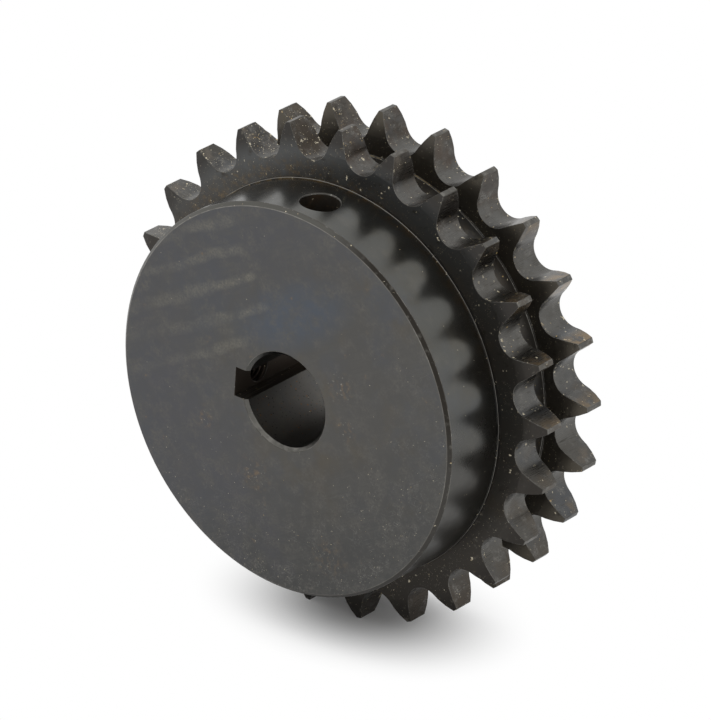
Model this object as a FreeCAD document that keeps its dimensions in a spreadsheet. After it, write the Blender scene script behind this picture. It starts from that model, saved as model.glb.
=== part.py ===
import FreeCAD, Part
import math
import os

import Sketcher

# Duplex chain sprocket, one piece of blackened steel, for a roller chain of 15.875 mm pitch.
# The bore axis is Y. The origin is the point of that axis midway between the two tooth rows.
# The hub points to -Y, Z is up, and the sprocket stands on two neighbouring teeth of each row.

# Driving dimensions: alias, value in millimetres or degrees (tooth_count and keyway_tooth are
# counts), and what it is
SIZES = [
    ("chain_pitch", 15.875, "from roller to roller of the chain"),
    ("roller_diameter", 10.16, "roller of the chain"),
    ("plate_depth", 14.73, "height of the chain's link plates, which the neck and hub stay clear of"),
    ("row_pitch", 16.59, "from the middle of one tooth row to the middle of the other"),
    ("tooth_count", 25, "teeth in each row"),
    ("tooth_height", 3.67, "tooth tip above the pitch circle"),
    ("tooth_width", 8.6, "width of a tooth at its root"),
    ("seat_clearance", 0.12, "how much wider than the roller the arc of its seat is"),
    ("seat_angle", 130, "how far round the roller that arc reaches"),
    ("flank_radius", 45, "arc from the seat out to the tip"),
    ("side_relief", 1.45, "how far the side of a tooth draws in at its tip"),
    ("side_relief_radius", 15.875, "radius that the relief follows, tangent to the side of the row"),
    ("neck_corner", 0.4, "bevel in the corners of the groove between the rows"),
    ("hub_inset", 2.04, "how far the hub lies below the neck between the rows"),
    ("hub_chamfer", 0.95, "front edge of the hub"),
    ("ledge_step", 0.4, "height of the turned ledge at the foot of the hub"),
    ("ledge_width", 0.5, "length of that ledge"),
    ("bore_length", 45, "overall length, hub face to rear face"),
    ("bore_diameter", 25, "bore"),
    ("bore_chamfer", 0.9, "both ends of the bore"),
    ("keyway_width", 8, "keyway"),
    ("keyway_depth", 3.3, "keyway floor beyond the bore"),
    ("keyway_tooth", 6, "tooth that the keyway lines up with, counted from the top one"),
    ("set_screw_tap_drill", 6.8, "wall of the holes tapped for an 8 mm set screw"),
    ("set_screw_thread", 19.5, "length of that wall, out from the bore"),
    ("set_screw_clearance", 10, "wider drilling outside the thread"),
    ("set_screw_setback", 9.6, "from the hub face to the holes"),
    ("set_screw_angle", 90, "from the hole over the keyway to the other one"),
]

# Room that the neck leaves under the link plates, as the chain standard works it out
PLATE_SHARE = 1.04
PLATE_CLEARANCE = 0.76
DRILL_POINT_ANGLE = 118
# Bevels that stand for the arc of the relief, and keep within 0.05 mm of it
RELIEF_BEVELS = 3
# How far a cutting outline runs past the surface that it cuts
OVERRUN = 1.0


class Size:
    """A length with the sheet formula that gives it, so a sketch is drawn and bound in one go."""

    def __init__(self, value, formula=None):
        self.value = value
        self.formula = formula or repr(value)

    def joined(self, other, sign, value):
        return Size(value, f"({self.formula} {sign} {other.formula})")

    def __add__(self, other):
        other = sized(other)
        return self.joined(other, "+", self.value + other.value)

    def __sub__(self, other):
        other = sized(other)
        return self.joined(other, "-", self.value - other.value)

    def __mul__(self, other):
        other = sized(other)
        return self.joined(other, "*", self.value * other.value)

    def __truediv__(self, other):
        other = sized(other)
        return self.joined(other, "/", self.value / other.value)

    def __neg__(self):
        return Size(-self.value, f"(-{self.formula})")


def sized(number):
    return number if isinstance(number, Size) else Size(number)


def root_of(size):
    return Size(math.sqrt(size.value), f"sqrt({size.formula})")


def sine_of(degrees):
    return Size(math.sin(math.radians(degrees.value)), f"sin({degrees.formula} * 1 deg)")


def tangent_of(degrees):
    return Size(math.tan(math.radians(degrees.value)), f"tan({degrees.formula} * 1 deg)")


def make_sheet(doc):
    """Writes the driving dimensions and gives each of them back as a Size."""
    sheet = doc.addObject("Spreadsheet::Sheet", "Sizes")
    sizes = {}
    for row, (alias, value, note) in enumerate(SIZES, start=1):
        sheet.set(f"A{row}", alias)
        sheet.set(f"B{row}", str(value))
        sheet.set(f"C{row}", note)
        sheet.setAlias(f"B{row}", alias)
        sizes[alias] = Size(value, f"Sizes.{alias}")
    doc.recompute()
    add_derived(sizes)
    return sizes


def add_derived(size):
    """Radii, places along the bore axis and the keyway's turn, which follow from the sheet."""
    half_turn = Size(180) / size["tooth_count"]
    size["pitch_radius"] = size["chain_pitch"] / 2 / sine_of(half_turn)
    size["tip_radius"] = size["pitch_radius"] + size["tooth_height"]
    plate_room = size["plate_depth"] * PLATE_SHARE + PLATE_CLEARANCE
    size["neck_radius"] = (size["chain_pitch"] / tangent_of(half_turn) - plate_room) / 2
    size["hub_radius"] = size["neck_radius"] - size["hub_inset"]
    size["bore_radius"] = size["bore_diameter"] / 2
    size["rear"] = (size["row_pitch"] + size["tooth_width"]) / 2
    size["hub_face"] = size["rear"] - size["bore_length"]
    size["set_screw_place"] = size["hub_face"] + size["set_screw_setback"]
    size["keyway_turn"] = size["keyway_tooth"] * 360 / size["tooth_count"]


def origin_feature(body, role):
    """The body's own plane or axis of that role."""
    for feature in body.Origin.OriginFeatures:
        if feature.Role == role:
            return feature
    raise ValueError(f"no origin feature {role}")


def new_sketch(body, name, role):
    sketch = body.newObject("Sketcher::SketchObject", name)
    sketch.AttachmentSupport = [(origin_feature(body, role), "")]
    sketch.MapMode = "FlatFace"
    return sketch


def bind(sketch, constraint, size):
    """Adds a dimension to a sketch and ties it to its formula."""
    index = sketch.addConstraint(Sketcher.Constraint(*constraint, size.value))
    sketch.setExpression(f"Constraints[{index}]", size.formula)


def draw_outline(sketch, corners):
    """Closed outline of straight edges through the corners, each with its place bound."""
    points = [FreeCAD.Vector(across.value, along.value, 0) for across, along in corners]
    for start, end in zip(points, points[1:] + points[:1]):
        sketch.addGeometry(Part.LineSegment(start, end))
    for edge, (across, along) in enumerate(corners):
        before = (edge - 1) % len(corners)
        sketch.addConstraint(Sketcher.Constraint("Coincident", before, 2, edge, 1))
        bind(sketch, ("DistanceX", -1, 1, edge, 1), across)
        bind(sketch, ("DistanceY", -1, 1, edge, 1), along)


def turned(body, kind, name, corners):
    """Revolution or Groove about the bore axis; x of the outline is the radius and y runs along Y."""
    sketch = new_sketch(body, name + "Outline", "XY_Plane")
    draw_outline(sketch, corners)
    feature = body.newObject("PartDesign::" + kind, name)
    feature.Profile = sketch
    feature.ReferenceAxis = (sketch, ["V_Axis"])
    feature.Angle = 360
    sketch.Visibility = False
    return feature


def settle(body, feature, cuts=True):
    """Recomputes and makes sure that the feature really cut or added something."""
    before = getattr(body, "Shape", None)
    volume_before = before.Volume if before and not before.isNull() else 0.0
    body.Tip = feature
    body.Document.recompute()
    change = body.Shape.Volume - volume_before
    if (change < 0) != cuts:
        raise RuntimeError(f"{feature.Name} changed the volume by {change:.1f} mm3")


def relief_steps(size):
    """Radius and draw-in of a tooth's side, from where the relief starts out to the tip."""
    tip = size["tip_radius"]
    radius = size["side_relief_radius"]
    rest = radius - size["side_relief"]
    depth = root_of(radius * radius - rest * rest)
    steps = []
    for bevel in range(RELIEF_BEVELS + 1):
        run = depth * bevel / RELIEF_BEVELS
        steps.append((tip - depth + run, radius - root_of(radius * radius - run * run)))
    return steps


def make_blank(body, size):
    """Hub and rim as they leave the lathe, before the groove and the bore."""
    rear = size["rear"]
    plate = -rear
    face = size["hub_face"]
    hub = size["hub_radius"]
    ledge = hub + size["ledge_step"]
    ledge_start = plate - size["ledge_width"]
    chamfer = size["hub_chamfer"]
    steps = relief_steps(size)
    corners = [
        (Size(0), face),
        (hub - chamfer, face),
        (hub, face + chamfer),
        (hub, ledge_start),
        (ledge, ledge_start),
        (ledge, plate),
    ]
    corners += [(radius, plate + drop) for radius, drop in steps]
    corners += [(radius, rear - drop) for radius, drop in reversed(steps)]
    corners.append((Size(0), rear))
    settle(body, turned(body, "Revolution", "Blank", corners), cuts=False)


def make_row_groove(body, size):
    """Groove that parts the rim into two rows, with the inner side reliefs and bevelled corners."""
    inner_face = (size["row_pitch"] - size["tooth_width"]) / 2
    neck = size["neck_radius"]
    corner = size["neck_corner"]
    steps = relief_steps(size)
    tip, tip_drop = steps[-1]
    half = [(tip + OVERRUN, inner_face + tip_drop)]
    half += [(radius, inner_face + drop) for radius, drop in reversed(steps)]
    half += [(neck + corner, inner_face), (neck, inner_face - corner)]
    corners = half + [(radius, -along) for radius, along in reversed(half)]
    settle(body, turned(body, "Groove", "RowGroove", corners))


def make_bore(body, size):
    rear = size["rear"]
    face = size["hub_face"]
    bore = size["bore_radius"]
    chamfer = size["bore_chamfer"]
    corners = [
        (Size(0), face),
        (bore + chamfer, face),
        (bore, face + chamfer),
        (bore, rear - chamfer),
        (bore + chamfer, rear),
        (Size(0), rear),
    ]
    settle(body, turned(body, "Groove", "Bore", corners))


def draw_tooth_gap(sketch, size):
    """Seat arc about the roller's centre, and a flank arc tangent to it on either side, opening down."""
    pitch_radius = size["pitch_radius"]
    mouth = size["tip_radius"] + OVERRUN
    seat = size["roller_diameter"] / 2 + size["seat_clearance"]
    flank = size["flank_radius"]
    half_angle = math.radians(size["seat_angle"].value / 2)
    up = math.pi / 2
    along_z = FreeCAD.Vector(0, 0, 1)

    centre = FreeCAD.Vector(0, -pitch_radius.value, 0)
    seat_circle = Part.Circle(centre, along_z, seat.value)
    sketch.addGeometry(Part.ArcOfCircle(seat_circle, up - half_angle, up + half_angle))
    for side in (1, -1):
        reach = seat.value + flank.value
        offset = FreeCAD.Vector(side * math.sin(half_angle), math.cos(half_angle), 0) * reach
        flank_centre = centre + offset
        joint_angle = up + side * (math.pi - half_angle)
        drop = flank_centre.y + mouth.value
        mouth_angle = -up - side * math.acos(drop / flank.value)
        circle = Part.Circle(flank_centre, along_z, flank.value)
        if side > 0:
            sketch.addGeometry(Part.ArcOfCircle(circle, joint_angle, mouth_angle + 2 * math.pi))
        else:
            sketch.addGeometry(Part.ArcOfCircle(circle, mouth_angle, joint_angle))
    right_end = sketch.Geometry[1].EndPoint
    left_end = sketch.Geometry[2].StartPoint
    sketch.addGeometry(Part.LineSegment(left_end, right_end))

    for constraint in (
        ("PointOnObject", 0, 3, -2),
        ("Horizontal", 0, 1, 0, 2),
        ("Tangent", 0, 1, 1, 1),
        ("Tangent", 0, 2, 2, 2),
        ("Coincident", 2, 1, 3, 1),
        ("Coincident", 1, 2, 3, 2),
    ):
        sketch.addConstraint(Sketcher.Constraint(*constraint))
    bind(sketch, ("DistanceY", -1, 1, 0, 3), -pitch_radius)
    bind(sketch, ("Radius", 0), seat)
    bind(sketch, ("Radius", 1), flank)
    bind(sketch, ("Radius", 2), flank)
    bind(sketch, ("DistanceY", -1, 1, 1, 2), -mouth)
    bind(sketch, ("DistanceY", -1, 1, 2, 1), -mouth)
    span = sketch.addConstraint(Sketcher.Constraint("Angle", 0, 2 * half_angle))
    sketch.setExpression(f"Constraints[{span}]", size["seat_angle"].formula + " * 1 deg")


def make_teeth(body, size):
    """One gap through both rows, then as many of them as there are teeth."""
    sketch = new_sketch(body, "ToothGapOutline", "XZ_Plane")
    draw_tooth_gap(sketch, size)
    gap = body.newObject("PartDesign::Pocket", "ToothGap")
    gap.Profile = sketch
    gap.Type = "ThroughAll"
    gap.SideType = "Symmetric"
    sketch.Visibility = False
    settle(body, gap)

    gaps = body.newObject("PartDesign::PolarPattern", "ToothGaps")
    gaps.Originals = [gap]
    gaps.Axis = (sketch, ["N_Axis"])
    gaps.Angle = 360
    gaps.setExpression("Occurrences", size["tooth_count"].formula)
    settle(body, gaps)


def make_keyway(body, size):
    """Slot through the whole bore, in line with a tooth."""
    sketch = new_sketch(body, "KeywayOutline", "XZ_Plane")
    turn = size["keyway_turn"]
    sketch.AttachmentOffset = FreeCAD.Placement(
        FreeCAD.Vector(0, 0, 0),
        FreeCAD.Rotation(FreeCAD.Vector(0, 0, 1), turn.value),
    )
    sketch.setExpression("AttachmentOffset.Rotation.Angle", turn.formula + " * 1 deg")
    half_width = size["keyway_width"] / 2
    floor = size["bore_radius"] + size["keyway_depth"]
    corners = [
        (-half_width, Size(0)),
        (half_width, Size(0)),
        (half_width, floor),
        (-half_width, floor),
    ]
    draw_outline(sketch, corners)
    keyway = body.newObject("PartDesign::Pocket", "Keyway")
    keyway.Profile = sketch
    keyway.Type = "ThroughAll"
    keyway.SideType = "Symmetric"
    sketch.Visibility = False
    settle(body, keyway)


def make_set_screw_holes(body, size):
    """Stepped hole from the hub's outside down to the keyway, and its twin round the hub."""
    sketch = new_sketch(body, "SetScrewHoleOutline", "YZ_Plane")
    turn = -size["keyway_turn"]
    sketch.AttachmentOffset = FreeCAD.Placement(
        FreeCAD.Vector(0, 0, 0),
        FreeCAD.Rotation(FreeCAD.Vector(1, 0, 0), turn.value),
    )
    sketch.setExpression("AttachmentOffset.Rotation.Angle", turn.formula + " * 1 deg")
    middle = size["set_screw_place"]
    hub = size["hub_radius"]
    thread = size["set_screw_tap_drill"] / 2
    thread_top = size["bore_radius"] + size["set_screw_thread"]
    clearance = size["set_screw_clearance"] / 2
    drill_cone = (clearance - thread) / math.tan(math.radians(DRILL_POINT_ANGLE / 2))
    corners = [
        (middle, Size(0)),
        (middle + thread, Size(0)),
        (middle + thread, thread_top),
        (middle + clearance, thread_top + drill_cone),
        (middle + clearance, hub + OVERRUN),
        (middle, hub + OVERRUN),
    ]
    draw_outline(sketch, corners)
    hole = body.newObject("PartDesign::Groove", "SetScrewHole")
    hole.Profile = sketch
    hole.ReferenceAxis = (sketch, [f"Edge{len(corners)}"])
    hole.Angle = 360
    sketch.Visibility = False
    settle(body, hole)

    holes = body.newObject("PartDesign::PolarPattern", "SetScrewHoles")
    holes.Originals = [hole]
    holes.Axis = (origin_feature(body, "Y_Axis"), [""])
    holes.setExpression("Angle", size["set_screw_angle"].formula + " * 1 deg")
    holes.Occurrences = 2
    settle(body, holes)


def check_document(doc):
    for thing in doc.Objects:
        if "Invalid" in thing.State or "Error" in thing.State:
            raise RuntimeError(f"{thing.Name} failed: {thing.State}")


def main():
    doc = FreeCAD.newDocument("Sprocket")
    size = make_sheet(doc)
    body = doc.addObject("PartDesign::Body", "Sprocket")
    body.Label = "sprocket"
    doc.recompute()
    make_blank(body, size)
    make_row_groove(body, size)
    make_bore(body, size)
    make_teeth(body, size)
    make_keyway(body, size)
    make_set_screw_holes(body, size)
    doc.recompute()
    check_document(doc)

    shape = body.Shape
    if shape.isNull() or not shape.isValid() or len(shape.Solids) != 1:
        raise RuntimeError("the sprocket is not one valid solid")
    os.makedirs("parts", exist_ok=True)
    shape.exportStep(f"parts/{body.Label}.step")
    print(f"{body.Label}: {shape.Volume / 1000:.1f} cm3, {len(shape.Faces)} faces")
    print("box", shape.BoundBox)


main()
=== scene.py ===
# %% [markdown]
# # A duplex chain sprocket in blackened steel
#
# The real thing is one piece of steel: turned on a lathe, hobbed so that one cutter makes each tooth
# gap in both rows, bored, broached, drilled, and then blackened in a hot bath. The solid model gives
# its true form. This script adds what the eye sees on top of that form: edges that are never quite
# sharp, a finish for each way the steel was cut, wear, dust, a thread, a floor and soft light.

# %% Load the solid model
import math

import bmesh
import bpy
import numpy as np
from mathutils import Matrix, Vector


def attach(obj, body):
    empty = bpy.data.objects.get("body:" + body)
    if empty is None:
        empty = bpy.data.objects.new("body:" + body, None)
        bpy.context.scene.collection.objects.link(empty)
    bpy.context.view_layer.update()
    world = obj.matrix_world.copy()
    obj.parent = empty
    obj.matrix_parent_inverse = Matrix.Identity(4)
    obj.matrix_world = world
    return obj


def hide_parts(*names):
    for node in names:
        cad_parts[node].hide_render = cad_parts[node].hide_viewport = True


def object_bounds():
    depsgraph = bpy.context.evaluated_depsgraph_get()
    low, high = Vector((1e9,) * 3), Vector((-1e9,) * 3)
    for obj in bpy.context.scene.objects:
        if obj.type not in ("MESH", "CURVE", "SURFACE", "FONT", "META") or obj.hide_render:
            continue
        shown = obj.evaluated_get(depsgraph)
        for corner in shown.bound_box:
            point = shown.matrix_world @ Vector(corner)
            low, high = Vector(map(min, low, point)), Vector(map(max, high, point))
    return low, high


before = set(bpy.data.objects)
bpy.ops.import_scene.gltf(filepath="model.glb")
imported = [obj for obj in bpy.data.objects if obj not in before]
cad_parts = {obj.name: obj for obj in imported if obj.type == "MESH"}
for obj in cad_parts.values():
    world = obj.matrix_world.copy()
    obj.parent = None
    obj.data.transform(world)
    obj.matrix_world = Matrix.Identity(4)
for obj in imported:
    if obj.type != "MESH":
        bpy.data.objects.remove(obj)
solid_box = [list(corner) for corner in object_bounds()]
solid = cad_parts["sprocket"]
print("solid model, mm:", [[round(v * 1000, 2) for v in corner] for corner in solid_box])

# %% [markdown]
# ## The sizes that the finishes need
#
# The bore's axis is Y and the hub points to -Y, so its end face has the lowest Y. Radii and depths
# are in millimetres, as on a workshop drawing, and are divided by 1000 where Blender needs metres.

# %% Main sizes, mm
TIP, NECK, HUB, BORE = 67.0, 54.8, 52.75, 12.5
REAR, PLATE, HUB_FACE = 12.595, -12.595, -32.405
HOLE_PLACE, HOLE_RADIUS, TAP_RADIUS = -22.805, 5.0, 3.4
KEYWAY_ANGLE = math.radians(176.4)
HOLE_AXES = [Vector((math.cos(a), 0, math.sin(a))) for a in (KEYWAY_ANGLE, KEYWAY_ANGLE - math.pi / 2)]
print("hub of", HUB, "mm radius, tips at", TIP, "mm")

# %% [markdown]
# ## The camera
#
# A studio picture of a small part is taken from far away with a long lens, so that parallel edges
# stay almost parallel. The camera circles a point on the bore's axis, and it is turned by an
# azimuth, an elevation and a slight roll. Three rotations in a row are easier to read than a
# finished matrix, so they are written one after the other.

# %% Place the camera
AIM = Vector((-2.628, 0.0, -0.718)) / 1000
AZIMUTH, ELEVATION, ROLL = (math.radians(a) for a in (37.994, 24.906, 0.870))
DISTANCE, LENS, SENSOR = 1.821295, 357.33, 36

turn = (Matrix.Rotation(AZIMUTH, 4, "Z") @ Matrix.Rotation(math.pi / 2 - ELEVATION, 4, "X")
        @ Matrix.Rotation(ROLL, 4, "Z"))
camera = bpy.data.objects.new("camera", bpy.data.cameras.new("camera"))
camera.data.sensor_width = SENSOR
camera.data.lens = LENS
camera.data.clip_end = 20
camera.matrix_world = Matrix.Translation(AIM + turn.to_3x3() @ Vector((0, 0, DISTANCE))) @ turn
bpy.context.collection.objects.link(camera)
bpy.context.scene.camera = camera
print("camera at", [round(v, 3) for v in camera.matrix_world.translation])

# %% [markdown]
# ## Three helpers for every material
#
# Colours are picked on a screen as sRGB hex values, but a shader works in linear light, so one
# function turns the first into the second. The next adds a node: what its sockets take is given in a
# dictionary, as a plain value or as the output of another node, and its settings are named words.
# The last turns the real size of a pattern into the scale that a texture node asks for.

# %% Colour, node and scale helpers
def linear(hex_colour):
    channels = [int(hex_colour[i:i + 2], 16) / 255 for i in (1, 3, 5)]
    return tuple(c / 12.92 if c <= 0.04045 else ((c + 0.055) / 1.055) ** 2.4 for c in channels) + (1,)


def add(tree, kind, takes=None, **settings):
    made = tree.nodes.new("ShaderNode" + kind)
    for name, value in settings.items():
        setattr(made, name, value)
    for socket, value in (takes or {}).items():
        if isinstance(value, bpy.types.NodeSocket):
            tree.links.new(value, made.inputs[socket])
        else:
            made.inputs[socket].default_value = value
    return made


def per_metre(millimetres):
    return 1000 / millimetres


print("screen grey #808080 in linear light:", round(linear("#808080")[0], 3))
print("scale of a pattern of 2 mm:", per_metre(2))

# %% [markdown]
# ## Background and light
#
# Bright metal has no colour of its own to show, only what it mirrors, so the surroundings matter
# more than the lamps. The steel stands in an all white room. Rays that come from the camera or off a
# glossy surface see the room as plain white, and all other rays get a dimmer light, which keeps the
# steel at its written tone. One large disk lamp overhead gives the soft shadow on the floor.

# %% White room
ROOM_SEEN, ROOM_LIGHT = 1.0, 0.72


def eye_ray(tree):
    path = add(tree, "LightPath")
    shiny = add(tree, "Math", {0: path.outputs["Is Camera Ray"], 1: path.outputs["Is Glossy Ray"]},
                operation="MAXIMUM")
    return add(tree, "Math", {0: shiny.outputs[0], 1: path.outputs["Is Transmission Ray"]},
               operation="MAXIMUM").outputs[0]


world = bpy.data.worlds.new("white room")
bpy.context.scene.world = world
world.use_nodes = True
sky = world.node_tree
sky.nodes.clear()
dim = add(sky, "Background", {"Color": linear("#FFFFFF"), "Strength": ROOM_LIGHT})
white = add(sky, "Background", {"Color": linear("#FFFFFF"), "Strength": ROOM_SEEN})
room = add(sky, "MixShader", {0: eye_ray(sky), 1: dim.outputs[0], 2: white.outputs[0]})
add(sky, "OutputWorld", {"Surface": room.outputs[0]})
print("world:", world.name)

# %% Overhead softbox
SOFTBOX_PLACE, SOFTBOX_SIZE, SOFTBOX_POWER = (-0.15, -0.05, 1.0), 1.0, 5

softbox = bpy.data.objects.new("softbox", bpy.data.lights.new("softbox", "AREA"))
softbox.data.shape = "DISK"
softbox.data.size = SOFTBOX_SIZE
softbox.data.energy = SOFTBOX_POWER
softbox.location = SOFTBOX_PLACE
softbox.rotation_euler = (-softbox.location).to_track_quat("-Z", "Y").to_euler()
softbox.visible_glossy = False
bpy.context.collection.objects.link(softbox)
print("softbox of", softbox.data.energy, "W")

# %% [markdown]
# ## The floor
#
# The part stands on pale paper that runs off into the white. A plain sheet would show a grey edge
# against the background, so its shader fades from paper near the part to glowing white further out.
# The fade is an oval around the part, as wide as the soft shadow. Where the steel mirrors the floor,
# the fade starts further out, so that the low teeth and the hub mirror paper and not light.

# %% Floor
FLOOR_SIZE = 3.0
SHADOW_MIDDLE, SHADOW_STRETCH = (0.006, -0.006), (0.85, 1.2, 1.0)
SEEN_FADE, MIRRORED_FADE = (0.006, 0.043), (0.080, 0.300)
PAPER_LIFT = 0.02

half = FLOOR_SIZE / 2
floor_mesh = bpy.data.meshes.new("floor")
floor_mesh.from_pydata([(-half, -half, 0), (half, -half, 0), (half, half, 0), (-half, half, 0)], [],
                       [(0, 1, 2, 3)])
floor = bpy.data.objects.new("floor", floor_mesh)
floor.location.z = solid_box[0][2]
bpy.context.collection.objects.link(floor)
print("floor at z", round(floor.location.z * 1000, 2), "mm")

# %% Paper that fades to white
paper = bpy.data.materials.new("Pale studio paper")
paper.use_nodes = True
tree = paper.node_tree
tree.nodes.clear()
seen = eye_ray(tree)
place = add(tree, "NewGeometry").outputs["Position"]
away = add(tree, "VectorMath", {0: place, 1: (*SHADOW_MIDDLE, solid_box[0][2])}, operation="SUBTRACT")
away = add(tree, "VectorMath", {0: away.outputs[0], 1: SHADOW_STRETCH}, operation="MULTIPLY").outputs[0]
distance = add(tree, "VectorMath", {0: away}, operation="LENGTH").outputs["Value"]
direct = add(tree, "LightPath").outputs["Is Camera Ray"]
starts, ends = [add(tree, "MapRange", {"Value": direct, "To Min": in_steel, "To Max": straight}).outputs[0]
                for in_steel, straight in zip(MIRRORED_FADE, SEEN_FADE)]
far = add(tree, "MapRange", {"Value": distance, "From Min": starts, "From Max": ends},
          interpolation_type="SMOOTHSTEP").outputs[0]
matt = add(tree, "BsdfDiffuse", {"Color": linear("#EEEEEE")})
raised = add(tree, "Math", {0: seen, 1: PAPER_LIFT}, operation="MULTIPLY").outputs[0]
lift = add(tree, "Emission", {"Color": linear("#FFFFFF"), "Strength": raised})
near = add(tree, "AddShader", {0: matt.outputs[0], 1: lift.outputs[0]})
glow = add(tree, "Emission", {"Color": linear("#FFFFFF"), "Strength": 1.0})
fade = add(tree, "Math", {0: far, 1: seen}, operation="MULTIPLY").outputs[0]
mixed = add(tree, "MixShader", {0: fade, 1: near.outputs[0], 2: glow.outputs[0]})
add(tree, "OutputMaterial", {"Surface": mixed.outputs[0]})
floor_mesh.materials.append(paper)
print("floor finish:", paper.name)

# %% [markdown]
# ## What every blackened surface has in common
#
# Hot blackening turns the outermost micrometre of steel into black iron oxide. Below it the metal
# still shines, so the surface acts as a dark metal that is a little matt: mostly metallic, with a
# base colour of about a tenth of white. The bath takes unevenly, which leaves cloudy zones that lean
# towards blue or brown, and dust and dried salts stay on it as small pale specks.
#
# Two patterns are used all over: soft zones of a real size, and fine grain that is drawn out along
# the cutting direction. Both are noise, and only their scale differs by direction.

# %% Start a finish, zones and grain
finishes = {}


def start_steel(name):
    made = bpy.data.materials.new(name)
    made.use_nodes = True
    made.node_tree.nodes.clear()
    finishes[name] = made
    return made.node_tree, add(made.node_tree, "TexCoord").outputs["Object"]


def zones(tree, coords, size, low, high, offset=0.0):
    moved = add(tree, "VectorMath", {0: coords, 1: (offset, offset, offset)}, operation="ADD").outputs[0]
    cloud = add(tree, "TexNoise", {"Vector": moved, "Scale": per_metre(size), "Detail": 5.0,
                                   "Roughness": 0.6}).outputs[0]
    return add(tree, "MapRange", {"Value": cloud, "From Min": low, "From Max": high}).outputs[0]


def grain(tree, coords, sizes, detail=3.0):
    fineness = tuple(per_metre(size) for size in sizes)
    drawn = add(tree, "VectorMath", {0: coords, 1: fineness}, operation="MULTIPLY").outputs[0]
    return add(tree, "TexNoise", {"Vector": drawn, "Scale": 1.0, "Detail": detail}).outputs[0]


print("patterns: zones, grain")

# %% [markdown]
# ## Specks and scratches
#
# Dust, crumbs, chips and pits are all specks: space is cut into cells, a share of the cells is
# chosen, and each of those gets a dot around its middle. The coordinates are shaken first, or the
# dots would be perfect spheres. A scratch is the same dot in coordinates that are drawn out along one
# line. A real grain of dust is 0.05 mm, a fifth of a pixel, so the finest dots are drawn about 0.2 mm.

# %% Specks and scratches
SHAKE, CENTRE, EDGE_OF_STROKE = 2.2, 0.15, 0.30


def specks(tree, coords, cell, size, share):
    shake = add(tree, "TexNoise", {"Vector": coords, "Scale": per_metre(size)}).outputs["Color"]
    shift = add(tree, "VectorMath", {0: shake, 1: (SHAKE * size / 1000,) * 3},
                operation="MULTIPLY").outputs[0]
    uneven = add(tree, "VectorMath", {0: coords, 1: shift}, operation="ADD").outputs[0]
    cells = add(tree, "TexVoronoi", {"Vector": uneven, "Scale": per_metre(cell)})
    pick = add(tree, "SeparateColor", {0: cells.outputs["Color"]})
    width = add(tree, "MapRange", {"Value": pick.outputs[1],
                                   "To Min": 0.3 * size / cell, "To Max": 0.6 * size / cell}).outputs[0]
    dot = add(tree, "Math", {0: cells.outputs["Distance"], 1: width}, operation="LESS_THAN").outputs[0]
    chosen = add(tree, "Math", {0: pick.outputs[0], 1: share}, operation="LESS_THAN").outputs[0]
    return add(tree, "Math", {0: dot, 1: chosen}, operation="MULTIPLY").outputs[0]


def strokes(tree, coords, degrees, length, width, share):
    turned = add(tree, "Mapping", {"Vector": coords, "Rotation": (0, math.radians(degrees), 0)}).outputs[0]
    fineness = (per_metre(length), per_metre(width), per_metre(width))
    drawn = add(tree, "VectorMath", {0: turned, 1: fineness}, operation="MULTIPLY").outputs[0]
    cells = add(tree, "TexVoronoi", {"Vector": drawn, "Scale": 1.0})
    thin = add(tree, "MapRange", {"Value": cells.outputs["Distance"],
                                  "From Min": EDGE_OF_STROKE, "From Max": CENTRE}).outputs[0]
    pick = add(tree, "SeparateColor", {0: cells.outputs["Color"]}).outputs[0]
    chosen = add(tree, "Math", {0: pick, 1: share}, operation="LESS_THAN").outputs[0]
    return add(tree, "Math", {0: thin, 1: chosen}, operation="MULTIPLY").outputs[0]


print("patterns: specks, strokes")

# %% [markdown]
# ## Places on the part
#
# Wear and dirt lie where hands, chips and salt water reach, so many masks say where a point is:
# how far it lies towards one direction, how far from the bore's axis, or how far from one place. Each
# mask goes from nothing at `start` to full at `end`, both in millimetres. `off_groove` is the plain
# distance from the plane midway between the two rows. Masks are combined in two ways: where all of
# them are present, or where any of them is.

# %% Masks by place
RIGHT, REARWARD, UP = (1, 0, 0), (0, 1, 0), (0, 0, 1)
UPPER_LEFT = (-0.5, 0, 0.866)


def toward(tree, coords, direction, start, end, least=0.0, most=1.0):
    along = add(tree, "VectorMath", {0: coords, 1: direction}, operation="DOT_PRODUCT").outputs["Value"]
    return add(tree, "MapRange", {"Value": along, "From Min": start / 1000, "From Max": end / 1000,
                                  "To Min": least, "To Max": most}).outputs[0]


def ring(tree, coords, start, end, least=0.0, most=1.0):
    flat = add(tree, "VectorMath", {0: coords, 1: (1, 0, 1)}, operation="MULTIPLY").outputs[0]
    reach = add(tree, "VectorMath", {0: flat}, operation="LENGTH").outputs["Value"]
    return add(tree, "MapRange", {"Value": reach, "From Min": start / 1000, "From Max": end / 1000,
                                  "To Min": least, "To Max": most}).outputs[0]


def around(tree, coords, place, start, end):
    middle = tuple(v / 1000 for v in place)
    off = add(tree, "VectorMath", {0: coords, 1: middle}, operation="DISTANCE").outputs["Value"]
    return add(tree, "MapRange", {"Value": off, "From Min": start / 1000,
                                  "From Max": end / 1000}).outputs[0]


def off_groove(tree, coords):
    depth = add(tree, "SeparateXYZ", {0: coords}).outputs[1]
    return add(tree, "Math", {0: depth}, operation="ABSOLUTE").outputs[0]


print("masks by place: toward, ring, around, off_groove")


# %% Put masks together
def overlap(tree, *masks):
    result = masks[0]
    for mask in masks[1:]:
        result = add(tree, "Math", {0: result, 1: mask}, operation="MULTIPLY").outputs[0]
    return result


def either(tree, *masks):
    result = masks[0]
    for mask in masks[1:]:
        result = add(tree, "Math", {0: result, 1: mask}, operation="MAXIMUM").outputs[0]
    return result


print("masks put together: overlap, either")

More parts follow.
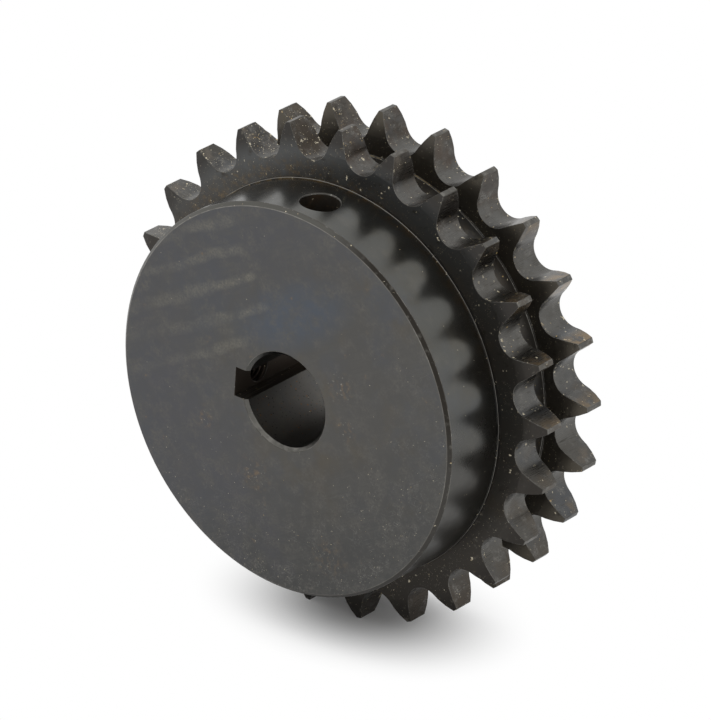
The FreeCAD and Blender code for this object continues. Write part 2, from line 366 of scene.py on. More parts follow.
# %% [markdown]
# ## From masks to a finished surface
#
# A finish starts from one tone with blue and brown clouds in it, and further tints are laid over it
# one by one, as a painter glazes. At the end comes the powder of dust and salt, cream with some
# orange, which hides the metal: where it lies, the surface is neither dark nor metallic. The bump
# height of each finish is given in millimetres, and `matt` is the share of plain, not metallic black.

# %% Layer the tints and close the finish
def tinted(tree, colour, layers):
    for mask, tint in layers:
        colour = add(tree, "Mix", {0: mask, 6: colour, 7: linear(tint)}, data_type="RGBA").outputs[2]
    return colour


def clouded(tree, coords, tone, blue, brown):
    return tinted(tree, linear(tone), [(zones(tree, coords, 18, 0.50, 0.66), blue),
                                       (zones(tree, coords, 12, 0.52, 0.68, offset=0.3), brown)])


def close_steel(tree, colour, dust, roughness, height, depth, matt=0.03):
    coords = add(tree, "TexCoord").outputs["Object"]
    orange = zones(tree, coords, 3, 0.53, 0.62, offset=0.65)
    powder = tinted(tree, linear("#CFC5AC"), [(orange, "#C0A268")])
    coated = add(tree, "Mix", {0: dust, 6: colour, 7: powder}, data_type="RGBA").outputs[2]
    metal = add(tree, "MapRange", {"Value": dust, "To Min": 1 - matt, "To Max": 0.0}).outputs[0]
    relief = add(tree, "Bump", {"Height": height, "Distance": depth / 1000, "Strength": 1.0}).outputs[0]
    surface = add(tree, "BsdfPrincipled", {"Base Color": coated, "Metallic": metal, "Roughness": roughness,
                                           "Normal": relief})
    add(tree, "OutputMaterial", {"Surface": surface.outputs[0]})


print("helpers: tinted, clouded, close_steel")

# %% [markdown]
# ## The faced ends: smears
#
# The hub's end was faced: the tool fed from the rim to the bore, and its marks are so fine that
# they only soften the shine. What the eye finds here is handling. Wiping left four or five pale
# smears, about 8 mm apart and tilted 27 degrees. Coordinates that are turned by 27 degrees draw them
# as a wave across the strokes, a little bent by noise, and masks end the strokes on all sides.

# %% Faced steel, the smears
FACED = "Faced steel, blackened"
SMEAR_TILT = math.radians(27)
SMEAR_GAP, SMEAR_PLACE, SMEAR_BEND = 7.8 / 1000, 24.8 / 1000, 2.4 / 1000
LOW_ONES_SHORTER, SMEAR_END, SMEAR_FULL = 11 / 1000, 7 / 1000, 4 / 1000

tree, coords = start_steel(FACED)
turned = add(tree, "Mapping", {"Vector": coords, "Rotation": (0, SMEAR_TILT, 0)}).outputs[0]
along, _, across = add(tree, "SeparateXYZ", {0: turned}).outputs
hub_end = toward(tree, turned, REARWARD, -30, -31)
bend = add(tree, "MapRange", {"Value": grain(tree, turned, (14, 14, 6)),
                              "To Min": -SMEAR_BEND, "To Max": SMEAR_BEND}).outputs[0]
lane = add(tree, "Math", {0: across, 1: bend}, operation="ADD").outputs[0]
angle = add(tree, "Math", {0: lane, 1: 2 * math.pi / SMEAR_GAP, 2: -2 * math.pi * SMEAR_PLACE / SMEAR_GAP},
            operation="MULTIPLY_ADD").outputs[0]
wave = add(tree, "Math", {0: angle}, operation="COSINE").outputs[0]
pale_lane = add(tree, "MapRange", {"Value": wave, "From Min": 0.1, "From Max": 1.0}).outputs[0]
shorter = toward(tree, turned, UP, 24, 17, most=LOW_ONES_SHORTER)
ending = add(tree, "Math", {0: along, 1: shorter}, operation="ADD").outputs[0]
before_end = add(tree, "MapRange", {"Value": ending, "From Min": SMEAR_END,
                                    "From Max": SMEAR_FULL}).outputs[0]
smear = overlap(tree, hub_end, pale_lane, before_end, toward(tree, turned, RIGHT, -36, -6, least=0.25),
                toward(tree, turned, UP, 11, 16), toward(tree, turned, UP, 52, 46),
                zones(tree, coords, 5, 0.32, 0.66, offset=0.9), zones(tree, coords, 0.6, 0.30, 0.62))
print(FACED, "smears", SMEAR_GAP * 1000, "mm apart, at", round(math.degrees(SMEAR_TILT)), "degrees")

# %% [markdown]
# ## The faced ends: tones
#
# Between the smears the oxide changes its tint with its thickness: cooler to the left and at the top, a blue
# stain above the bore, with small patches of rust. The lower end of the face is painted darker, as painted
# shade. Each is a soft zone, held to its place by a mask.

# %% Faced steel, the tones
STAIN_PLACE, STAIN_WIDE, STAIN_HIGH = (0.0127, 0, 0.0205), 21, 9

from_stain = add(tree, "VectorMath", {0: turned, 1: STAIN_PLACE}, operation="SUBTRACT").outputs[0]
from_stain = add(tree, "VectorMath", {0: from_stain, 1: (per_metre(STAIN_WIDE), 0, per_metre(STAIN_HIGH))},
                 operation="MULTIPLY").outputs[0]
from_stain = add(tree, "VectorMath", {0: from_stain}, operation="LENGTH").outputs["Value"]
in_stain = add(tree, "MapRange", {"Value": from_stain, "From Min": 1.15, "From Max": 0.45}).outputs[0]
stain = overlap(tree, hub_end, in_stain, zones(tree, coords, 7, 0.26, 0.52, offset=0.33))

# painted shade: the lower end of the face is darker
lower_end_shade = overlap(tree, hub_end, toward(tree, turned, UP, -14, -42))
leftward = toward(tree, turned, RIGHT, -6, -34)
cool = overlap(tree, either(tree, leftward, toward(tree, turned, UP, 20, 40)), 0.65)
violet = overlap(tree, zones(tree, coords, 16, 0.50, 0.64, offset=0.71), leftward)
streaks = add(tree, "MapRange", {"Value": grain(tree, turned, (9, 9, 0.5)),
                                 "From Min": 0.3, "From Max": 0.7}).outputs[0]
paler_part = overlap(tree, streaks, zones(tree, coords, 6, 0.45, 0.75))
patches = overlap(tree, zones(tree, coords, 3.5, 0.46, 0.70, offset=0.5),
                  zones(tree, coords, 0.7, 0.35, 0.65))
rust = overlap(tree, zones(tree, coords, 4, 0.66, 0.74, offset=1.3), zones(tree, coords, 1.2, 0.40, 0.60))
colour = tinted(tree, clouded(tree, coords, "#575654", "#565759", "#5B5750"),
                [(cool, "#55565A"), (lower_end_shade, "#515150"), (violet, "#565659"), (stain, "#545961"),
                 (paler_part, "#5D5C59"), (patches, "#63615D"), (smear, "#7A776E"), (rust, "#6F6357")])
print(FACED, "tones laid")

# %% [markdown]
# ## The faced ends: wear
#
# The face was set down and slid on its lower rim, so short pale scratches and frosted dots crowd
# there and thin out towards the bore. Scratches run in three directions, each with its own length in
# millimetres. A real one is a few hundredths wide, so they are drawn about 0.2 mm, or none would
# show. Five knocks have orange and chalky grains in them.

# %% Faced steel, the wear
SCRATCHES = ((33, 6, 0.20, 0.09), (74, 3, 0.18, 0.12), (-12, 4, 0.18, 0.08))
KNOCKS = ((18.2, 9.3, 3.5), (19.9, -2.0, 2.5), (-25.6, -12.0, 2.5), (-9.1, -23.3, 4.0), (15.5, -39.5, 4.0))

worn = overlap(tree, ring(tree, coords, 18, 50, least=0.12), toward(tree, turned, UP, 8, -40, least=0.03),
               zones(tree, coords, 7, 0.40, 0.62, offset=0.2))
all_scratches = either(tree, *[strokes(tree, coords, *kind) for kind in SCRATCHES])
scratch = overlap(tree, all_scratches, worn, 0.9)
frost = overlap(tree, worn, zones(tree, coords, 1.6, 0.44, 0.62, offset=0.8),
                zones(tree, coords, 0.35, 0.48, 0.66))
knocks = either(tree, *[around(tree, coords, (x, HUB_FACE, z), 1.6 * size, 0) for x, z, size in KNOCKS])
orange = overlap(tree, knocks, zones(tree, coords, 1.6, 0.52, 0.66, offset=1.1))
chalky = overlap(tree, knocks, zones(tree, coords, 0.9, 0.60, 0.68, offset=0.9))
colour = tinted(tree, colour, [(frost, "#7D7B77"), (scratch, "#84827D"),
                               (orange, "#746657"), (chalky, "#9A978E")])

share = add(tree, "MapRange", {"Value": worn, "To Min": 0.001, "To Max": 0.14}).outputs[0]
dust = overlap(tree, specks(tree, coords, 0.5, 0.22, share), 0.55)
rough = add(tree, "MapRange", {"Value": zones(tree, coords, 3, 0.2, 0.8),
                               "To Min": 0.36, "To Max": 0.48}).outputs[0]
close_steel(tree, colour, dust, rough, grain(tree, coords, (0.5, 0.5, 0.5)), 0.004)
print(FACED, "closed, with", len(SCRATCHES), "kinds of scratch and", len(KNOCKS), "knocks")

# %% [markdown]
# ## The turned wall of the hub
#
# The wall was turned with a fine feed, so it is the smoothest outside surface. It mirrors the white
# room through the gaps between the teeth, as soft scallops, and for that its roughness has to be low.
# Lower down the oxide is duller, so the scallops blur, and the lower wall is painted darker, as painted
# shade. The lathe's rings run around the axis, about 0.2 mm apart: too fine to show here, so they are drawn
# 0.4 mm apart. Where the wall meets the teeth, along its upper part, a thin brown line is a painted highlight
# of the corner there, and the chamfer at the bore's mouth is rubbed bright below.

# %% Turned steel
TURNED = "Turned steel, blackened"
LOW_RIGHT = (0.2, 0, -0.98)

tree, coords = start_steel(TURNED)
# painted highlight: a thin brown line along the upper foot of the wall, where it meets the teeth
foot_highlight = overlap(tree, toward(tree, coords, REARWARD, -16.5, -13.5), toward(tree, coords, UP, 10, 40),
               zones(tree, coords, 3, 0.40, 0.60))
rub = overlap(tree, zones(tree, coords, 6, 0.52, 0.68, offset=0.4), grain(tree, coords, (3, 0.4, 3)))
mouth = overlap(tree, ring(tree, coords, 20, 15), toward(tree, coords, LOW_RIGHT, 2, 10),
                zones(tree, coords, 2, 0.34, 0.60, offset=0.15))
colour = tinted(tree, clouded(tree, coords, "#5A5A57", "#5A5B5B", "#5B5953"),
                # painted shade darkens the lower wall, and the brown line at the foot is a painted highlight
                [(toward(tree, coords, UP, 15, -10), "#52514E"), (foot_highlight, "#6E5E49"), (rub, "#676560"),
                 (mouth, "#72706B")])
dust = overlap(tree, specks(tree, coords, 0.9, 0.26, 0.05), 0.6)
uneven = add(tree, "MapRange", {"Value": zones(tree, coords, 5, 0.3, 0.7), "To Min": 0.20, "To Max": 0.27})
duller = toward(tree, coords, UP, 12, -30, most=0.12)
rough = add(tree, "Math", {0: uneven.outputs[0], 1: duller}, operation="ADD").outputs[0]
close_steel(tree, colour, dust, rough, grain(tree, coords, (25, 0.4, 25)), 0.0006, matt=0.004)
print(TURNED)

# %% [markdown]
# ## Chamfers and the ledge
#
# The chamfer at the hub's rim and the ledge at its foot were cut in passing and never wiped, so the oxide on
# them is thicker and more matt. They show as dark bands between two thin bright edges. The rim's chamfer is
# paler everywhere but at the upper right, and palest at the top, and dust has settled on the ledge.

# %% Chamfered steel
CHAMFER = "Chamfered steel, matt black"
RIM_RIGHT, RIM_TOP = (0.819, 0, 0.574), (-0.26, 0, 0.966)

tree, coords = start_steel(CHAMFER)
hub_rim = toward(tree, coords, REARWARD, -30, -31)
ledge = toward(tree, coords, REARWARD, -31, -30)
# the rim's chamfer is paler everywhere but at the upper right, and palest at the top
paler_part = overlap(tree, hub_rim, toward(tree, coords, RIM_RIGHT, 48, 40))
palest_part = overlap(tree, paler_part, toward(tree, coords, RIM_TOP, 30, 46))
salted = overlap(tree, ledge, toward(tree, coords, RIM_TOP, 34, 50), zones(tree, coords, 3, 0.42, 0.60))
colour = tinted(tree, clouded(tree, coords, "#272522", "#262728", "#2A2621"),
                [(hub_rim, "#322F2B"), (paler_part, "#474542"), (palest_part, "#5A5955"),
                 (overlap(tree, zones(tree, coords, 2, 0.56, 0.70), hub_rim), "#5A5853"),
                 (salted, "#62563F")])
share = add(tree, "MapRange", {"Value": ledge, "To Min": 0.05, "To Max": 0.22}).outputs[0]
dust = specks(tree, coords, 0.6, 0.28, share)
close_steel(tree, colour, dust, 0.38, grain(tree, coords, (8, 0.3, 8)), 0.003)
print(CHAMFER)

# %% [markdown]
# ## The sides of the toothed rows: tones
#
# The sides face each other and the hub, so they mirror dark steel and look nearly black. Their tops are
# painted lighter, as a painted reflection of the room, their lower parts are painted darker, as painted
# shade, and they are toned down near the tips. Inside the groove the oxide is brown, and beside the ledge at
# the upper left, where the bath dried last, it is brown as well.

# %% Row sides, the tones
SIDES = "Row sides, blackened"
INNER_SIDES = 8.5

tree, coords = start_steel(SIDES)
inward = add(tree, "Math", {0: off_groove(tree, coords), 1: INNER_SIDES / 1000},
             operation="LESS_THAN").outputs[0]
by_ledge = overlap(tree, ring(tree, coords, 60.0, 54.8), toward(tree, coords, UPPER_LEFT, 30, 50),
                   zones(tree, coords, 5, 0.30, 0.50, offset=0.4))
colour = tinted(tree, clouded(tree, coords, "#484541", "#474643", "#4A453E"),
                # painted light and shade: lighter at the top of the part, darker at the bottom
                [(toward(tree, coords, UP, 20, 50), "#545555"),
                 (toward(tree, coords, UP, -15, -45), "#3A3733"),
                 (ring(tree, coords, 59.5, 64.0, most=0.85), "#383532"), (inward, "#524E48"),
                 (overlap(tree, inward, zones(tree, coords, 8, 0.35, 0.60, offset=0.6)), "#5A554C"),
                 (overlap(tree, by_ledge, 0.5), "#3F3A33"),
                 (overlap(tree, by_ledge, zones(tree, coords, 1.2, 0.50, 0.66)), "#5F5445"),
                 (zones(tree, coords, 2.5, 0.60, 0.72, offset=0.2), "#625E57"),
                 (zones(tree, coords, 4, 0.60, 0.70, offset=0.8), "#3E3B36")])
print(SIDES, "tones laid")

# %% [markdown]
# ## The sides of the toothed rows: grit
#
# Grit and dried salt gather below the seats and beside the ledge, as hundreds of pale dots of a
# quarter of a millimetre, some crumbs and a few chips. Each kind is its own layer of specks, with a
# share that rises where dirt collects: a share of 0.70 fills seven cells in ten.

# %% Row sides, the grit
crowd = overlap(tree, zones(tree, coords, 9, 0.42, 0.64), ring(tree, coords, 62.5, 57.5))
sprinkled = either(tree, crowd, by_ledge)
dusty = add(tree, "MapRange", {"Value": sprinkled, "To Min": 0.13, "To Max": 0.70}).outputs[0]
crumbly = add(tree, "MapRange", {"Value": crowd, "To Min": 0.05, "To Max": 0.28}).outputs[0]
chipped = add(tree, "MapRange", {"Value": crowd, "To Min": 0.04, "To Max": 0.20}).outputs[0]
dust = either(tree, overlap(tree, specks(tree, coords, 0.48, 0.20, dusty), 0.45),
              overlap(tree, specks(tree, coords, 1.0, 0.34, crumbly), 0.6),
              overlap(tree, specks(tree, coords, 2.2, 0.75, chipped), 0.9))
rough = add(tree, "MapRange", {"Value": inward, "To Min": 0.35, "To Max": 0.46}).outputs[0]
close_steel(tree, colour, dust, rough, grain(tree, coords, (0.6, 0.6, 0.6)), 0.008, matt=0.06)
print(SIDES, "closed")

# %% [markdown]
# ## The hobbed tooth gaps: tones
#
# A hob shapes each gap with many small cuts. They leave lines along the gap, from row to row, about 0.3 mm
# apart, with a satin shine between them that swings from bright to nearly black within a millimetre or two.
# The chain's rollers burnish the bottom of the seats. The flanks above them are painted darker near the top
# of the part, and the teeth at the bottom are painted darker too, both as painted shade. Some tips have a
# bronze tint, where the steel ran warm.

# %% Hobbed steel, the tones
HOBBED = "Hobbed steel, blackened"
WARM_SIDE, DIRTY_SIDE = (0.906, 0, 0.423), (-0.7, 0, 0.7)
BROWN_GAP = (-12.4, -8.5, 60.8)

tree, coords = start_steel(HOBBED)
cuts = grain(tree, coords, (0.26, 4, 0.26), detail=5.0)
dark_cuts = add(tree, "MapRange", {"Value": cuts, "From Min": 0.50, "From Max": 0.32}).outputs[0]
smudge = overlap(tree, zones(tree, coords, 4, 0.46, 0.62, offset=0.15), dark_cuts, 0.8)
pale = overlap(tree, zones(tree, coords, 3, 0.52, 0.66, offset=0.45), zones(tree, coords, 0.5, 0.40, 0.60))
brown_gap = overlap(tree, around(tree, coords, BROWN_GAP, 6.2, 4.0),
                    zones(tree, coords, 2.5, 0.30, 0.50, offset=0.6))
near_tip = ring(tree, coords, 62.0, 64.5)
top = toward(tree, coords, UP, 38, 54)
burnished = overlap(tree, ring(tree, coords, 60.4, 58.6), zones(tree, coords, 6, 0.32, 0.58, offset=0.4))
# painted shade: the flanks above the seats are darker on the upper teeth
upper_flank_shade = overlap(tree, ring(tree, coords, 59.8, 61.6), top,
                zones(tree, coords, 6, 0.44, 0.60, offset=0.2), 0.8)
brownish = overlap(tree, top, toward(tree, coords, DIRTY_SIDE, 62, 48),
                   zones(tree, coords, 5, 0.36, 0.60, offset=0.85))
bronze = overlap(tree, near_tip, toward(tree, coords, WARM_SIDE, 58.5, 65.0),
                 zones(tree, coords, 3, 0.38, 0.52, offset=0.75))
colour = tinted(tree, clouded(tree, coords, "#53514D", "#515253", "#544E46"),
                # painted shade: the teeth at the bottom of the part are darker
                [(brownish, "#4F4740"), (toward(tree, coords, UP, -38, -52), "#48423B"),
                 (burnished, "#5E5D5A"), (upper_flank_shade, "#3C3935"), (smudge, "#3B3935"), (pale, "#6C6A66"),
                 (brown_gap, "#403A33"),
                 (overlap(tree, near_tip, zones(tree, coords, 7, 0.56, 0.68, offset=0.35)), "#605A52"),
                 (bronze, "#7A6A54")])
print(HOBBED, "tones laid")

# %% [markdown]
# ## The hobbed tooth gaps: chips
#
# Chips and crumbs cling to the two long edges of each gap, in clusters, most of all on the upper
# left teeth and beside the bronze tips. So their share is high only where an edge is near and a zone
# or one of those sides agrees.

# %% Hobbed steel, the chips
ROW_MIDDLE, BAND_START, ROW_EDGE = 8.3 / 1000, 2.8 / 1000, 4.3 / 1000

from_middle = add(tree, "Math", {0: off_groove(tree, coords), 1: ROW_MIDDLE}, operation="SUBTRACT").outputs[0]
from_middle = add(tree, "Math", {0: from_middle}, operation="ABSOLUTE").outputs[0]
at_edge = add(tree, "MapRange", {"Value": from_middle, "From Min": BAND_START,
                                 "From Max": ROW_EDGE}).outputs[0]
dirty = toward(tree, coords, DIRTY_SIDE, 30, 60)
clumps = either(tree, zones(tree, coords, 8, 0.46, 0.60, offset=0.55), dirty,
                toward(tree, coords, WARM_SIDE, 52.5, 57.5))
likely = add(tree, "MapRange", {"Value": at_edge, "To Min": 0.10, "To Max": 0.90}).outputs[0]
gritty = add(tree, "MapRange", {"Value": dirty, "To Min": 0.12, "To Max": 0.80}).outputs[0]
gritty = overlap(tree, gritty, zones(tree, coords, 2.5, 0.38, 0.52, offset=0.25))
dust = either(tree, overlap(tree, specks(tree, coords, 0.6, 0.27, gritty), 0.75),
              overlap(tree, specks(tree, coords, 1.2, 0.62, overlap(tree, likely, clumps)), 0.85))
rough = add(tree, "MapRange", {"Value": cuts, "From Min": 0.3, "From Max": 0.7,
                               "To Min": 0.22, "To Max": 0.38}).outputs[0]
close_steel(tree, colour, dust, rough, cuts, 0.004, matt=0.07)
print(HOBBED, "closed")

# %% [markdown]
# ## Crests
#
# The crests are what is left of the turned blank between two gaps. They take every knock, so the
# oxide is rubbed thin and grey steel shows through, but never evenly.

# %% Tooth crests
CREST = "Tooth crest, rubbed grey"
tree, coords = start_steel(CREST)
colour = tinted(tree, clouded(tree, coords, "#5C5A56", "#5A5B5C", "#5E5850"),
                [(zones(tree, coords, 2, 0.50, 0.62), "#74726D"),
                 (zones(tree, coords, 5, 0.58, 0.66, offset=0.4), "#4A453D")])
dust = overlap(tree, specks(tree, coords, 0.9, 0.34, 0.15), 0.7)
close_steel(tree, colour, dust, 0.40, grain(tree, coords, (0.5, 0.5, 0.5)), 0.008)
print(CREST)

# %% [markdown]
# ## Worn edges and the bright rim
#
# Brushing and handling rub the edges of the teeth to grey steel. The rim of the hub and the ledge are the
# brightest lines of the part. A soft zone decides where an edge is bright and where it is still black. The
# rim gets paler towards the upper left, and the ledge gets a painted highlight towards the top.

# %% Worn edges
EDGE = "Worn edge, grey steel"
tree, coords = start_steel(EDGE)
colour = tinted(tree, linear("#4E4C48"), [(zones(tree, coords, 5, 0.46, 0.62), "#6E6C68"),
                                          (zones(tree, coords, 0.8, 0.58, 0.68), "#8C8A84")])
close_steel(tree, colour, specks(tree, coords, 0.9, 0.34, 0.06), 0.36,
            grain(tree, coords, (0.4, 0.4, 0.4)), 0.006)
print(EDGE)

# %% Rim edges
RIM = "Rim edge, bright steel"
tree, coords = start_steel(RIM)
rubbed = zones(tree, coords, 6, 0.46, 0.60)
# painted highlight: the ledge's edge is paler towards the top
ledge_highlight = overlap(tree, toward(tree, coords, UP, 30, 52), toward(tree, coords, REARWARD, -21, -19))
# the rim's edge is paler towards the upper left
paler_upper_left_rim = overlap(tree, toward(tree, coords, UPPER_LEFT, 25, 45),
                   toward(tree, coords, REARWARD, -19, -21),
                   zones(tree, coords, 3, 0.34, 0.56, offset=0.3))
colour = tinted(tree, linear("#62605C"),
                [(rubbed, "#716F6A"), (ledge_highlight, "#8F8C86"), (paler_upper_left_rim, "#82807B"),
                 (overlap(tree, rubbed, zones(tree, coords, 0.9, 0.52, 0.64)), "#86837D")])
close_steel(tree, colour, specks(tree, coords, 0.9, 0.34, 0.06), 0.32,
            grain(tree, coords, (0.4, 0.4, 0.4)), 0.004)
print(RIM)

# %% [markdown]
# ## The groove and the bore
#
# The groove between the rows was plunged with a wide tool, which leaves coarse rings. The bore was
# bored to size, with finer rings and a duller shine, and it has dark pits and specks of orange salt.
# Both kinds of ring run around the axis: the grain is long across the part and 0.35 mm along it,
# about twice as coarse as the real feed, so that it shows.

# %% Groove floor
GROOVE = "Groove floor, blackened"
tree, coords = start_steel(GROOVE)
colour = tinted(tree, clouded(tree, coords, "#504D49", "#4D4E4E", "#554D42"),
                [(zones(tree, coords, 3, 0.58, 0.7), "#68645B")])
dust = specks(tree, coords, 0.8, 0.30, 0.2)
close_steel(tree, colour, dust, 0.45, grain(tree, coords, (20, 0.35, 20)), 0.008, matt=0.07)
print(GROOVE)

# %% Bore
BORED = "Bored steel, blackened"
tree, coords = start_steel(BORED)
pits = overlap(tree, specks(tree, coords, 0.75, 0.34, 0.50), 0.8)
salts = overlap(tree, specks(tree, coords, 0.8, 0.36, 0.30),
                zones(tree, coords, 8, 0.40, 0.52, offset=0.25))
colour = tinted(tree, clouded(tree, coords, "#5E5C59", "#5B5C5C", "#605A53"),
                [(zones(tree, coords, 5, 0.50, 0.75), "#67655F"), (pits, "#2C2926"), (salts, "#8A5F35")])
dust = specks(tree, coords, 1.4, 0.3, 0.05)
close_steel(tree, colour, dust, 0.34, grain(tree, coords, (14, 0.35, 14)), 0.004)
print(BORED)

# %% [markdown]
# ## The keyway and the drilled holes
#
# A broach pulled through the keyway leaves lines along the axis, a few of them bright. The drilled holes are
# rough and never wiped. They stay the darkest, with brown at the mouth, and below the step where the thread
# starts they are painted darker, as painted shade.

# %% Keyway
BROACHED = "Broached keyway, blackened"
tree, coords = start_steel(BROACHED)
lines = grain(tree, coords, (0.3, 14, 0.3))
bright = add(tree, "MapRange", {"Value": lines, "From Min": 0.56, "From Max": 0.70}).outputs[0]
colour = tinted(tree, clouded(tree, coords, "#55514B", "#53514E", "#5B4E41"), [(bright, "#77736B")])
close_steel(tree, colour, specks(tree, coords, 0.8, 0.30, 0.2), 0.38, lines, 0.008, matt=0.06)
print(BROACHED)

# %% Drilled holes
DRILLED = "Drilled hole, blackened"
tree, coords = start_steel(DRILLED)
colour = tinted(tree, clouded(tree, coords, "#524C44", "#4F4B46", "#5B4937"),
                # painted shade: darker and browner deeper in the hole, below the step where the thread starts
                [(zones(tree, coords, 2, 0.55, 0.68), "#6E5F4C"), (ring(tree, coords, 34, 30), "#514840")])
dust = specks(tree, coords, 0.9, 0.34, 0.12)
close_steel(tree, colour, dust, 0.42, grain(tree, coords, (0.6, 0.6, 0.6)), 0.012, matt=0.16)
print(DRILLED)

# %% [markdown]
# ## A dressed copy of the solid
#
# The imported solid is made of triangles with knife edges. Real edges are broken by the deburring
# brush and catch a thin line of light. The copy joins the doubled corners, clears away the
# triangles inside flat faces, and bevels each sharp edge by a tenth of a millimetre.

# %% Join and clean the copy
SAME_POINT, FLAT_ENOUGH = 5e-6, math.radians(0.2)

form = bmesh.new()
form.from_mesh(solid.data)
bmesh.ops.remove_doubles(form, verts=form.verts, dist=SAME_POINT)
bmesh.ops.dissolve_limit(form, angle_limit=FLAT_ENOUGH, verts=form.verts, edges=form.edges)
print("joined faces:", len(form.faces), "open edges:", sum(not e.is_manifold for e in form.edges))

# %% [markdown]
# ## Which cut made which face
#
# A lathe, a hob, a broach and a drill each leave their own surface. The place and direction of a
# face say which tool made it, so no face has to be picked by hand. `outward` is 1 where a face looks
# straight away from the axis and -1 where it looks at the axis, as the bore does.

# %% Find the faces inside the drilled holes
def in_hole(point, normal):
    for axis in HOLE_AXES:
        away = point - Vector((0, HOLE_PLACE, 0))
        along = away.dot(axis)
        off_axis = (away - axis * along).length
        if along > BORE - 0.5 and off_axis < HOLE_RADIUS + 0.3 and normal.dot(axis) < 0.95:
            return True
    return False


drilled = sum(in_hole(face.calc_center_median() * 1000, face.normal) for face in form.faces)
print("faces inside the holes:", drilled)

# %% Tell the cuts apart
SLACK, BORE_AND_KEYWAY = 0.05, 17.0


def cut_of(face):
    point = face.calc_center_median() * 1000
    normal = face.normal
    radius = sum(math.hypot(v.co.x, v.co.z) for v in face.verts) / len(face.verts) * 1000
    outward = (normal.x * point.x + normal.z * point.z) / max(math.hypot(point.x, point.z), 1e-6)
    if in_hole(point, normal):
        return DRILLED
    if abs(normal.y) > 0.99 and (point.y < HUB_FACE + SLACK or point.y > REAR - SLACK):
        return FACED
    if radius < BORE_AND_KEYWAY:
        if abs(normal.y) > 0.3:
            return TURNED
        return BORED if outward < -0.98 and radius < BORE + SLACK else BROACHED
    if radius < HUB + 1 and point.y < PLATE - 0.01:
        plain_wall = radius < HUB + SLACK and abs(normal.y) < 0.01
        return TURNED if plain_wall else CHAMFER
    if radius > TIP - 0.1 and outward > 0.9:
        return CREST
    if abs(normal.y) > 0.15:
        return CHAMFER if radius < NECK + 0.6 and abs(normal.y) < 0.95 else SIDES
    if radius < NECK + 0.5 and outward > 0.97:
        return GROOVE
    return HOBBED


print("cut of the first face:", cut_of(next(iter(form.faces))))

# %% Sort the faces by the cut that made them
names = list(finishes)
for face in form.faces:
    face.material_index = names.index(cut_of(face))
for i, name in enumerate(names):
    print(name, "faces:", sum(face.material_index == i for face in form.faces))

# %% [markdown]
# ## Broken edges
#
# Each sharp edge is found by its angle, and the two cuts that meet in it say how it was finished. The
# mouths of the drilled holes got a countersink, the hub's rim is the brightest line of the part,
# the ledge kept a nearly sharp edge, and all the others were brushed. Inner corners get a very small
# bevel too, in their neighbours' finish, only so that the smooth shading doesn't bend around them.

# %% Name the sharp edges
SHARP = math.radians(28)


def edge_kind(edge):
    cuts = {names[face.material_index] for face in edge.link_faces}
    if cuts & {EDGE, RIM} or not edge.is_manifold or edge.calc_face_angle() < SHARP:
        return None
    point = (edge.verts[0].co + edge.verts[1].co) / 2 * 1000
    radius = math.hypot(point.x, point.z)
    if cuts == {DRILLED, TURNED} and radius > HUB - 2:
        return "mouth"
    if cuts == {FACED, CHAMFER}:
        return "rim"
    if GROOVE in cuts or (radius < NECK + 0.6 and abs(point.y) < 5):
        return "corner"
    if not edge.is_convex:
        return "inner"
    return "ledge" if cuts == {CHAMFER} and point.y > PLATE - 1 else "brushed"


print("sharp edges:", sum(edge_kind(edge) is not None for edge in form.edges), "of", len(form.edges))

# %% Break the sharp edges
BREAKS = {"mouth": (0.40, 1, EDGE), "rim": (0.12, 2, RIM), "brushed": (0.10, 2, EDGE),
          "ledge": (0.12, 2, RIM), "corner": (0.14, 2, EDGE), "inner": (0.05, 1, None)}

for kind, (width, steps, finish) in BREAKS.items():
    edges = [e for e in form.edges if edge_kind(e) == kind]
    bmesh.ops.bevel(form, geom=edges, offset=width / 1000, offset_type="OFFSET", segments=steps,
                    profile=0.5, affect="EDGES", clamp_overlap=False,
                    material=names.index(finish) if finish else -1)
    print(kind, "edges:", len(edges), "broken by", width, "mm")

# %% [markdown]
# ## Threads
#
# The set screw holes are tapped below their wide mouths. A thread is a ridge that climbs the wall
# along a helix, so a small triangle is swept along one: it rises by one pitch in each turn, and
# runs out to nothing at both ends, as a tapped thread does. It is a closed skin, a little sunk
# into the wall, so that it has no stray faces.

# %% Sweep the threads
PITCH, RIDGE, RIDGE_FOOT, SINK = 1.25, 0.34, 1.1, 0.06
TURN_STEPS = 28
THREAD_STARTS, THREAD_STOP = (16.5, 13.6), 31.5


def sweep_thread(axis, start, stop):
    side = axis.cross(Vector((0, 1, 0)))
    count = int((stop - start) / PITCH * TURN_STEPS)
    rings = []
    for step in range(count + 1):
        angle = 2 * math.pi * step / TURN_STEPS
        out = side * math.cos(angle) + Vector((0, 1, 0)) * math.sin(angle)
        middle = axis * (start + PITCH * step / TURN_STEPS) + Vector((0, HOLE_PLACE, 0))
        rise = RIDGE * min(1, (step + 0.5) / TURN_STEPS * 2, (count - step + 0.5) / TURN_STEPS * 2)
        sunk = TAP_RADIUS + SINK
        profile = [(sunk, -RIDGE_FOOT / 2), (TAP_RADIUS - rise, 0), (sunk, RIDGE_FOOT / 2)]
        rings.append([form.verts.new((middle + out * r + axis * a) / 1000) for r, a in profile])
    made = [form.faces.new(rings[0]), form.faces.new(reversed(rings[-1]))]
    for a, b in zip(rings, rings[1:]):
        made += [form.faces.new((a[i], b[i], b[(i + 1) % 3], a[(i + 1) % 3])) for i in range(3)]
    for face in made:
        face.material_index = names.index(DRILLED)
    bmesh.ops.recalc_face_normals(form, faces=made)
    return len(made)


for axis, start in zip(HOLE_AXES, THREAD_STARTS):
    print("thread faces:", sweep_thread(axis, start, THREAD_STOP))
for face in form.faces:
    face.smooth = True
print("open edges:", sum(not e.is_manifold for e in form.edges), "faces now:", len(form.faces))

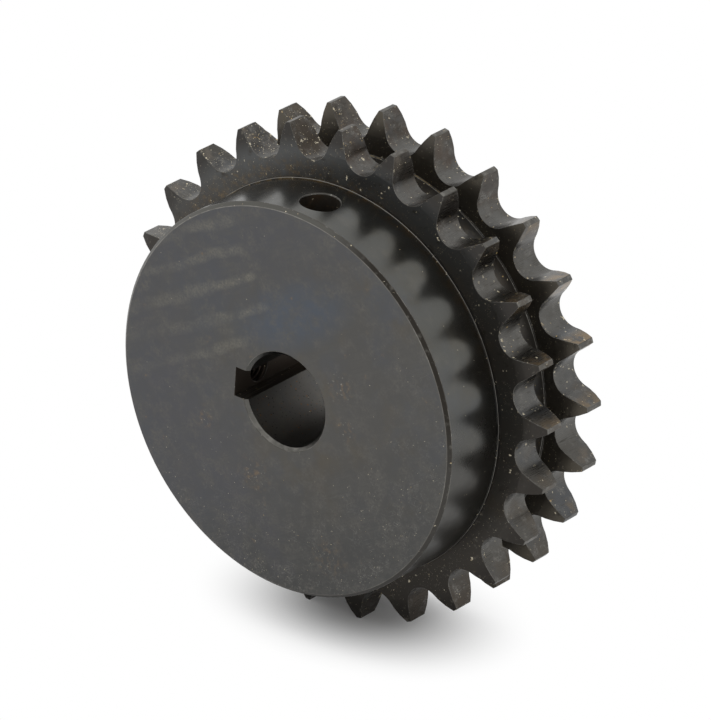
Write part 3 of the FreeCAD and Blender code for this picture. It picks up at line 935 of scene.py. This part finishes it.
# %% [markdown]
# ## Smooth shading that stays true
#
# Smooth shading averages the directions of the faces around a corner. Weighting each face by its
# area keeps the large faces flat right up to their bevels. The faces are read in one go as arrays,
# and each face corner adds the direction of its face, times its area, to its point.

# %% Average the directions by area
mesh = bpy.data.meshes.new("sprocket_steel")
form.to_mesh(mesh)
form.free()
for name in names:
    mesh.materials.append(finishes[name])


def read(items, name, width, kind):
    values = np.zeros(len(items) * width, kind)
    items.foreach_get(name, values)
    return values.reshape(-1, width) if width > 1 else values


vertex_of = read(mesh.loops, "vertex_index", 1, np.int32)
points = read(mesh.vertices, "co", 3, np.float32)
areas = read(mesh.polygons, "area", 1, np.float32)
directions = read(mesh.polygons, "normal", 3, np.float32)
owner = np.repeat(np.arange(len(areas)), read(mesh.polygons, "loop_total", 1, np.int32))

total = np.zeros_like(points)
np.add.at(total, vertex_of, directions[owner] * areas[owner][:, None])
shading = (total / np.maximum(np.linalg.norm(total, axis=1), 1e-12)[:, None])[vertex_of]
print("face corners:", len(shading))

# %% [markdown]
# ## The turned wall and the bore
#
# On these two the true direction is known, because both are turned about one axis, so it is written
# in directly: straight away from the axis on the wall, and straight at it in the bore.

# %% Shade the turned faces and hand over the piece
ON_RADIUS = 0.06

radial = points[vertex_of] * np.array([1, 0, 1])
reach = np.linalg.norm(radial, axis=1)
radial = radial / np.maximum(reach, 1e-9)[:, None]
level = np.abs(directions[owner][:, 1]) < 0.01
facing = (directions[owner] * radial).sum(axis=1)
wall = level & (facing > 0.99) & (np.abs(reach * 1000 - HUB) < ON_RADIUS)
inside = level & (facing < -0.98) & (np.abs(reach * 1000 - BORE) < ON_RADIUS)
shading[wall] = radial[wall]
shading[inside] = -radial[inside]
mesh.normals_split_custom_set(shading.tolist())

steel = bpy.data.objects.new("sprocket_steel", mesh)
bpy.context.collection.objects.link(steel)
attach(steel, "root")
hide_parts("sprocket")
print("corners shaded along the wall:", int(wall.sum()), "and in the bore:", int(inside.sum()))

# %% [markdown]
# ## Finish
#

bpy.context.scene.view_settings.view_transform = "Standard"
